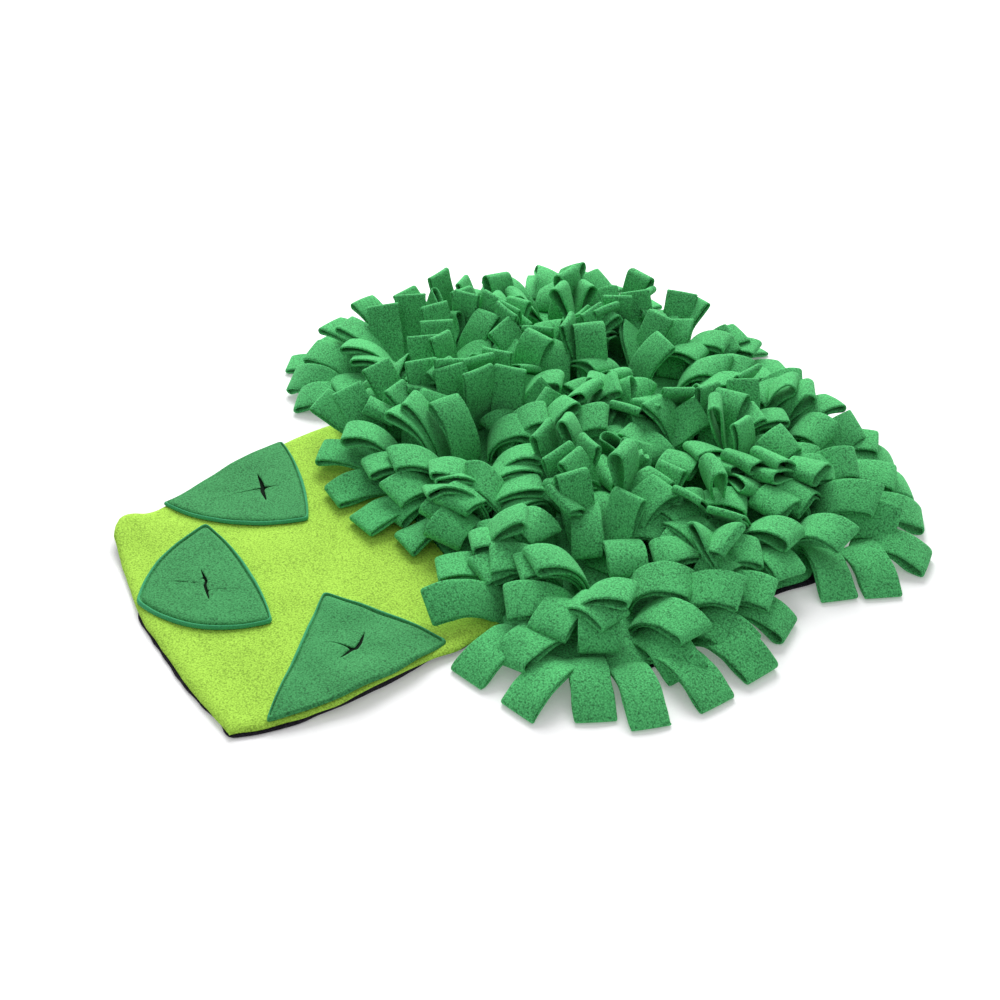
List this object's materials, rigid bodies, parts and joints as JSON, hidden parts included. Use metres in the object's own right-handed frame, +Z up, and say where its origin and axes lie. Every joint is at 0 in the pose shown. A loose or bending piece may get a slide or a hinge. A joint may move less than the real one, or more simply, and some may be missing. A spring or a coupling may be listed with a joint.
{
  "type": "snuffle mat",
  "caption": "Fleece snuffle mat shaped like a head of broccoli, with florets of fleece loops and leaf pockets on a stalk.",
  "frame": {"origin": "middle of the mat's box, on the surface it lies on", "axes": "+Z up, +Y along the mat from the cut end of the stalk to the crown, +X to the right seen with the stalk nearest"},
  "size_m": [0.5518, 0.584, 0.0651],
  "materials": {
    "backing": "matt non-slip backing cloth, near black with a purple cast",
    "lime_fleece": "anti-pill polar fleece, lime green, fine pebbled nap",
    "green_fleece": "anti-pill polar fleece, mid green, fine pebbled nap"
  },
  "bodies": {
    "root": {"backing": "backing", "stalk_panel": "lime_fleece", "crown_panel": "green_fleece", "leaf_1": "green_fleece", "leaf_2": "green_fleece", "leaf_3": "green_fleece", "floret_1_outer": "green_fleece", "floret_1_middle": "green_fleece", "floret_1_inner": "green_fleece", "floret_2_outer": "green_fleece", "floret_2_middle": "green_fleece", "floret_2_inner": "green_fleece", "floret_3_outer": "green_fleece", "floret_3_middle": "green_fleece", "floret_3_inner": "green_fleece", "floret_4_outer": "green_fleece", "floret_4_middle": "green_fleece", "floret_4_inner": "green_fleece", "floret_5_outer": "green_fleece", "floret_5_middle": "green_fleece", "floret_5_inner": "green_fleece", "floret_6_outer": "green_fleece", "floret_6_middle": "green_fleece", "floret_6_inner": "green_fleece"}
  },
  "joints": []
}
